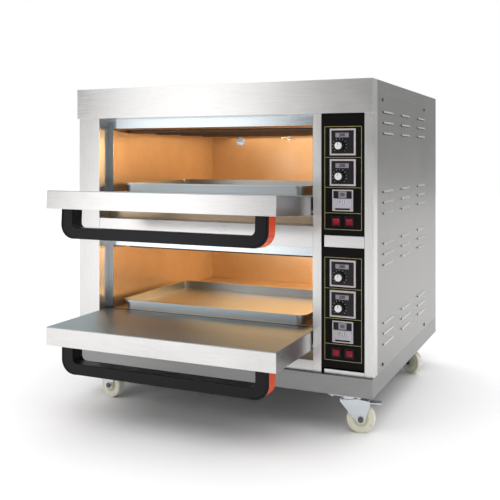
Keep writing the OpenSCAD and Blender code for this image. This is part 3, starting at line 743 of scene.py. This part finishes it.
# %% Numbers
def numeral(body, size, material, where):
    bpy.ops.object.select_all(action="DESELECT")
    bpy.ops.object.text_add(location=(0, 0, 0), rotation=(math.pi / 2, 0, 0))
    text = bpy.context.object.data
    text.body = body
    text.size = size
    text.extrude = 0.12 * MM
    text.offset = 0.25 * MM
    text.align_x = "CENTER"
    text.align_y = "CENTER"
    bpy.ops.object.convert(target="MESH")
    made = bpy.context.object
    made.matrix_world = where @ made.matrix_world
    return settle(made, "numeral", material)


print("numbers ready")

# %% [markdown]
# The timer has a dark upper half with a small grey display, and below it a light band with two
# windows, in which the digit wheels show. The wheels stand out of the panel, so the band stands out
# too, in front of them. It is built as bars round the windows, so the wheels really turn behind
# openings.

# %% Timer fronts
EDGE, PANE_END, POST_HALF = 25, 11.5, 2  # millimetres across: the front, both windows, their post
BAND_LOW, PANE_LOW, PANE_HIGH, PANE_TOP, BAND_HIGH = -20, -8.6, 0.6, 4, 4.8  # millimetres up
FOOT, FOOT_IN, SILL = -25, 20.5, -12  # the lower edge, its light ends and the band's thick part
RAISED, THIN, BEHIND = 3.4, 2.8, 0.7  # millimetres that the band's front and backs stand out
DISPLAY_OUT = 0.85 * MM


def timer_front(deck):
    tens = Vector(joint(f"timer_{deck}_tens_turn")["pos_m"])
    units = Vector(joint(f"timer_{deck}_units_turn")["pos_m"])
    mid_x, mid_z = (tens.x + units.x) / 2, tens.z + 4 * MM
    front = panel_y - BEZEL

    def bar(left, right, low, high, material, out=0.5, back=-0.6):
        return block("bar", (mid_x + left * MM, front - out * MM, mid_z + low * MM),
                     (mid_x + right * MM, front - back * MM, mid_z + high * MM), material, 0.2 * MM)

    dark = joined(f"timer_dark_{deck}", [
        bar(-EDGE, EDGE, 5, EDGE, face_black), bar(-20, 20, FOOT, -20.5, face_black, 0.7)])
    patch = bar(-11, 11, 6.5, 24, lcd_grey, 0.8)
    patch.name = f"timer_display_{deck}"
    shown = numeral("00", 11 * MM, face_black,
                    Matrix.Translation((mid_x, front - DISPLAY_OUT, mid_z + 15.2 * MM)))
    place(shown, "root", "bezel_grey").name = f"timer_digits_{deck}"
    band = joined(f"timer_band_{deck}", [
        bar(-EDGE, -PANE_END, BAND_LOW, BAND_HIGH, band_grey, RAISED),
        bar(PANE_END, EDGE, BAND_LOW, BAND_HIGH, band_grey, RAISED),
        bar(-PANE_END, PANE_END, PANE_TOP, BAND_HIGH, band_grey, RAISED, BEHIND),
        bar(-PANE_END, PANE_END, BAND_LOW, SILL, band_grey, RAISED, BEHIND),
        bar(-PANE_END, PANE_END, SILL, PANE_LOW, band_grey, RAISED, THIN),
        bar(-PANE_END, PANE_END, PANE_HIGH, PANE_TOP, band_grey, RAISED, THIN),
        bar(-POST_HALF, POST_HALF, PANE_LOW, PANE_HIGH, band_grey, RAISED, THIN),
        bar(-EDGE, -FOOT_IN, FOOT, BAND_LOW, band_grey),
        bar(FOOT_IN, EDGE, FOOT, BAND_LOW, band_grey)])
    place(dark, "root", "housing_black")
    place(patch, "root", "bezel_grey")
    place(band, "root", "digit_white")


print("timer front ready")

# %% [markdown]
# Each digit wheel carries the ten numbers round its rim, 36 degrees apart. A number is placed at
# the front of the wheel and turned about the wheel's axle. The thermostats' displays show a number
# too, in the middle of the grey field.

# %% Timers, digit wheels and displays
FIRST_DIGIT = {"tens": 0, "units": 2}


def digit_drum(deck, digit):
    node = f"timer_{deck}_{digit}"
    axle = Matrix.Translation(joint(node + "_turn")["pos_m"])
    low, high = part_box(node)
    rim = Matrix.Translation((0, 0.02 * MM - (high[2] - low[2]) / 2, 0))
    copy_of(node, f"digit_drum_{deck}_{digit}", 0.4 * MM)
    numbers = []
    for step in range(10):
        turn = Matrix.Rotation(math.radians(-36 * step), 4, "X")
        shown = str((FIRST_DIGIT[digit] + step) % 10)
        numbers.append(numeral(shown, 9 * MM, housing_black, axle @ turn @ rim))
    place(joined(f"numbers_{deck}_{digit}", numbers), node, "digit_white")


def thermostat_digits(deck, heat):
    x, y, z = joint(f"knob_{deck}_{heat}_heat_turn")["pos_m"]
    across, up = ((a + b) / 2 * MM for a, b in zip(DISPLAY_LOW, DISPLAY_HIGH))
    at = (x + KNOB_LEFT + across, panel_y - BEZEL - DISPLAY_OUT, z + KNOB_DOWN + up)
    shown = numeral("200", 11 * MM, face_black, Matrix.Translation(at))
    place(shown, "root", "bezel_grey").name = f"thermostat_digits_{deck}_{heat}"


for deck in DECKS:
    timer_front(deck)
    for heat in HEATS:
        thermostat_digits(deck, heat)
    for digit in FIRST_DIGIT:
        digit_drum(deck, digit)
print("timers:", len(DECKS))

# %% [markdown]
# A rocker switch is a red paddle with a shallow V across it. The box gets one cut through its
# middle with bisect, the new edge is pushed in, and the edges are rounded before it is leaned to
# the position that it rests in.

# %% Rockers
ROCKER_HALF = Vector((9, 5, 8.5)) * MM
ROCKER_LEAN = math.radians(-8)


def rocker(deck, use):
    name = f"rocker_{deck}_{use}"
    pivot = Vector(joint(name + "_press")["pos_m"])
    paddle = block("paddle", pivot - ROCKER_HALF, pivot + ROCKER_HALF, rocker_red)
    only(paddle)
    bpy.ops.object.mode_set(mode="EDIT")
    bpy.ops.mesh.select_all(action="SELECT")
    bpy.ops.mesh.bisect(plane_co=pivot, plane_no=(0, 0, 1))
    shape = bmesh.from_edit_mesh(paddle.data)
    for v in shape.verts:
        v.select_set(abs(v.co.z - pivot.z) < 0.1 * MM and v.co.y < pivot.y)
    shape.select_flush(True)
    bmesh.update_edit_mesh(paddle.data)
    bpy.ops.transform.translate(value=(0, 1.6 * MM, 0))
    bpy.ops.object.mode_set(mode="OBJECT")
    finish_bevel(paddle, 0.9 * MM, 3, 12)
    only(paddle)
    bpy.ops.transform.rotate(value=ROCKER_LEAN, orient_axis="X", center_override=pivot)
    bpy.ops.object.transform_apply(location=True, rotation=True, scale=True)
    place(paddle, name, "rocker_red", name).name = name + "_paddle"
    pin = drum(name + "_pin", pivot, 1.5 * MM, 20 * MM, housing_black, "X", 16)
    place(pin, name, "rocker_red")


for deck in DECKS:
    for use in ("power", "lamp"):
        rocker(deck, use)
print("rockers:", 2 * len(DECKS))

# %% [markdown]
# On a caster, hexagon nuts close the axle, the fork's legs end in round plates, a cream disc covers
# each side of the wheel, and four bolts hold the plate to the oven. The axle's joint gives a centre
# and a direction, and every disc is a cylinder of few or many sides turned to that direction.

# %% Casters
BOLT_ACROSS, BOLT_DEEP = 36 * MM, 26 * MM  # from the swivel's axis
BOLT_HEAD = 4 * MM
PLATE = 3 * MM  # thickness


def axle_parts(corner):
    spin = joint(f"roll_{corner}")
    centre, axis = Vector(spin["pos_m"]), Vector(spin["axis"]).normalized()
    turn = axis.to_track_quat("Z", "Y").to_euler()

    def disc(sides, radius, depth, reach, material, width):
        bpy.ops.object.select_all(action="DESELECT")
        bpy.ops.mesh.primitive_cylinder_add(vertices=sides, radius=radius * MM, depth=depth * MM,
                                            location=centre + axis * reach * MM, rotation=turn)
        return finish_bevel(settle(bpy.context.object, "disc", material), width * MM)

    for side, end in ((-1, "left"), (1, "right")):
        nut = disc(6, 8, 5, side * 20, dark_steel, 0.7)
        place(nut, f"fork_{corner}", "zinc").name = f"axle_nut_{corner}_{end}"
        boss = disc(40, 12.6, 2.6, side * 15.25, zinc_plate, 0.5)
        place(boss, f"fork_{corner}", "zinc").name = f"fork_end_{corner}_{end}"
        cap = disc(40, 20, 1.4, side * 11.2, hub_cream, 0.6)
        place(cap, f"wheel_{corner}", "wheel_nylon").name = f"hub_disc_{corner}_{end}"


def plate_bolts(corner):
    x, y, _ = joint(f"swivel_{corner}")["pos_m"]
    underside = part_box("caster_plates")[1][2] - PLATE
    bolts = [drum("bolt", (x + across, y + deep, underside - BOLT_HEAD / 2), 6 * MM, BOLT_HEAD,
                  zinc_plate, "Z", 6, 0.5 * MM)
             for across in (-BOLT_ACROSS, BOLT_ACROSS) for deep in (-BOLT_DEEP, BOLT_DEEP)]
    place(joined(f"plate_bolts_{corner}", bolts), "root", "zinc")


for corner in CORNERS:
    axle_parts(corner)
    plate_bolts(corner)
print("casters:", len(CORNERS))

# %% [markdown]
# The covers are held by low screws whose round heads have a sunk centre. The outer face of a short
# cylinder is inset twice, and what is left in the middle is pushed in. The side panels have a
# column of two near the front and one near the rear, and the rear cover has three columns.

# %% Screws of the covers
HEAD_RADIUS, HEAD_HIGH = 5 * MM, 2.2 * MM


def screw(at, normal):
    turn = normal.to_track_quat("Z", "Y").to_euler()
    bpy.ops.object.select_all(action="DESELECT")
    bpy.ops.mesh.primitive_cylinder_add(vertices=24, radius=HEAD_RADIUS, depth=HEAD_HIGH,
                                        location=at + normal * (HEAD_HIGH / 2), rotation=turn)
    head = settle(bpy.context.object, "screw", dark_steel)
    bpy.ops.object.mode_set(mode="EDIT")
    shape = bmesh.from_edit_mesh(head.data)
    for face in shape.faces:
        face.select_set(face.normal.dot(normal) > 0.9)
    bmesh.update_edit_mesh(head.data)
    bpy.ops.mesh.inset(thickness=1.6 * MM)
    bpy.ops.mesh.inset(thickness=1.6 * MM)
    bpy.ops.transform.translate(value=-normal * 0.9 * MM)
    bpy.ops.object.mode_set(mode="OBJECT")
    return finish_bevel(head, 0.6 * MM, 2, 25)


side_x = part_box("base_frame")[1][0]
(_, cover_edge, _), (_, rear_y, cover_top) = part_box("rear_cover")
front_edge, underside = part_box("top_cover")[0][1:]
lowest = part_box("panel_screws")[0][2] + HEAD_RADIUS
heads = []
for y in (front_edge + 53 * MM, cover_edge - 62 * MM):
    for z in (lowest, underside - 14 * MM):
        for side in (-1, 1):
            heads.append(screw(Vector((side * side_x, y, z)), Vector((side, 0, 0))))
for x in (-side_x + 30 * MM, 0, side_x - 30 * MM):
    for z in (lowest, cover_top - 15 * MM):
        heads.append(screw(Vector((x, rear_y, z)), Vector((0, 1, 0))))
print("screws:", len(heads))
place(joined("cover_screws", heads), "root", "sensor_steel", "panel_screws")

# %% [markdown]
# Each chamber has one lamp on its right wall: a steel ring round a domed glass, whose material
# gives off warm light. The dome is a cylinder whose end is inset and pulled out in steps. The
# packed lamps are one node, so its box spans both of them: the upper one is the lower one moved up
# by the distance between the decks.

# %% Lamps
DOME_STEPS = ((3, 1.4), (5, 1.0), (7, 0.5))  # millimetres: inset, then pulled out


def lamp(deck, wall, y, z):
    ring = drum("ring", (wall - 2.5 * MM, y, z), 34 * MM, 5 * MM, bright_steel, "X", 48, 1.2 * MM, 3)
    glass = drum("glass", (wall - 8 * MM, y, z), 26 * MM, 10 * MM, lamp_lens, "X", 48)
    only(glass)
    bpy.ops.object.mode_set(mode="EDIT")
    for inward, out in DOME_STEPS:
        shape = bmesh.from_edit_mesh(glass.data)
        tip = min(face.calc_center_median().x for face in shape.faces)
        for face in shape.faces:
            at_tip = face.calc_center_median().x < tip + 0.05 * MM
            face.select_set(at_tip and face.normal.x < -0.95)
        bmesh.update_edit_mesh(glass.data)
        bpy.ops.mesh.inset(thickness=inward * MM)
        bpy.ops.transform.translate(value=(-out * MM, 0, 0))
    bpy.ops.object.mode_set(mode="OBJECT")
    finish_bevel(glass, 0.8 * MM, 3, 25)
    place(ring, "root", "sensor_steel").name = f"lamp_ring_{deck}"
    place(glass, "root", "lamp_glass", "lamps").name = f"lamp_glass_{deck}"


low, high = (Vector(c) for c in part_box("lamps"))
deck_rise = joint("door_upper_hinge")["pos_m"][2] - joint("door_lower_hinge")["pos_m"][2]
lower_lamp = (low + high - Vector((0, 0, deck_rise))) / 2
lamp_places = {"lower": lower_lamp, "upper": lower_lamp + Vector((0, 0, deck_rise))}
for deck, at in lamp_places.items():
    lamp(deck, high.x, at.y, at.z)
    print("lamp", deck, [round(v, 3) for v in at])

# %% [markdown]
# The studio is plain: a pale floor that runs to the horizon under a white sky. What brushed steel
# shows is the reflection of its surroundings, so the sky's strength changes with direction: dim in
# front and near the ground, brighter overhead and behind. Only the camera sees it plain white.

# %% Floor and sky
def paper():
    finish = Material("studio_paper", Roughness=0.9)
    soft = finish.noise(3.0, 2.0, 0.5)
    return finish.feed(Base_Color=finish.blend(soft, grey(0.93), grey(0.95)))


bpy.ops.object.select_all(action="DESELECT")
bpy.ops.mesh.primitive_plane_add(size=24, location=(0, 0, 0))
floor = settle(bpy.context.object, "studio_floor", paper())
world = bpy.data.worlds.new("studio")
bpy.context.scene.world = world
world.use_nodes = True
sky = Nodes(world.node_tree)
backdrop = sky.tree.nodes["Background"]
backdrop.inputs["Color"].default_value = grey(1.0)
direction = sky.node("ShaderNodeTexCoord", output="Generated")
back = sky.node("ShaderNodeSeparateXYZ", output="Y", Vector=direction)
up = sky.node("ShaderNodeSeparateXYZ", output="Z", Vector=direction)
strength = back.step(-0.5, 0.6) * 0.30 + up.step(0.0, 0.9) * 0.34 + 0.13
seen = sky.node("ShaderNodeLightPath", output="Is Camera Ray")
sky.tree.links.new(strength.math("MAXIMUM", seen).socket, backdrop.inputs["Strength"])
bpy.context.scene.view_settings.view_transform = "Standard"
print("floor and sky ready")

# %% [markdown]
# One tall soft light at the left front is the key, and a weaker one behind the right side keeps
# the louvres readable. A very soft sun overhead lifts the doors and trays. Each chamber has a warm
# light under its ceiling and a small one at its lamp, so the walls glow as they do in use.

# %% Lights
def soft_light(name, at, aim, size, power, colour=(1, 1, 1)):
    data = bpy.data.lights.new(name, "AREA")
    data.shape = "RECTANGLE"
    data.size, data.size_y = size
    data.energy = power
    data.color = colour
    light = bpy.data.objects.new(name, data)
    bpy.context.scene.collection.objects.link(light)
    light.location = at
    light.rotation_euler = (Vector(aim) - Vector(at)).to_track_quat("-Z", "Y").to_euler()


WARM = (1.0, 0.64, 0.30)
CEILING = 0.045  # metres from a lamp's middle up to the light under the ceiling
soft_light("key", at=(-1.55, -3.0, 1.1), aim=(-0.2, -0.3, 0.6), size=(1.1, 3.2), power=20)
soft_light("side_fill", at=(3.2, 1.2, 1.5), aim=(0.4, 0.1, 0.5), size=(1.6, 2.0), power=10)
sun = bpy.data.lights.new("overhead", "SUN")
sun.energy = 2.3
sun.angle = math.radians(100)
bpy.context.scene.collection.objects.link(bpy.data.objects.new("overhead", sun))
for deck, at in lamp_places.items():
    middle = (-0.05, at.y - 0.1)
    soft_light(f"glow_{deck}", (*middle, at.z + CEILING), (*middle, 0), (0.5, 0.4), 1.3, WARM)
    soft_light(f"lamp_{deck}", at + Vector((-0.03, 0, 0)), at + Vector((-1, -0.1, -0.1)),
               (0.05, 0.05), 0.9, WARM)

# %% [markdown]
# The camera stands to the right of the oven at about the height of the upper door and looks
# level, so upright edges stay upright. A small shift of the lens frames the casters.

# %% Camera
LENS = 55.76
LENS_SHIFT = -0.1906
CAMERA_AT = (0.9893, -2.242, 0.7291)
CAMERA_TURN = math.radians(24.3)
camera_data = bpy.data.cameras.new("camera")
camera_data.lens = LENS
camera_data.shift_y = LENS_SHIFT
camera_data.clip_end = 60
camera = bpy.data.objects.new("camera", camera_data)
bpy.context.scene.collection.objects.link(camera)
camera.location = CAMERA_AT
camera.rotation_euler = (math.pi / 2, 0, CAMERA_TURN)
bpy.context.scene.camera = camera
print("camera ready")
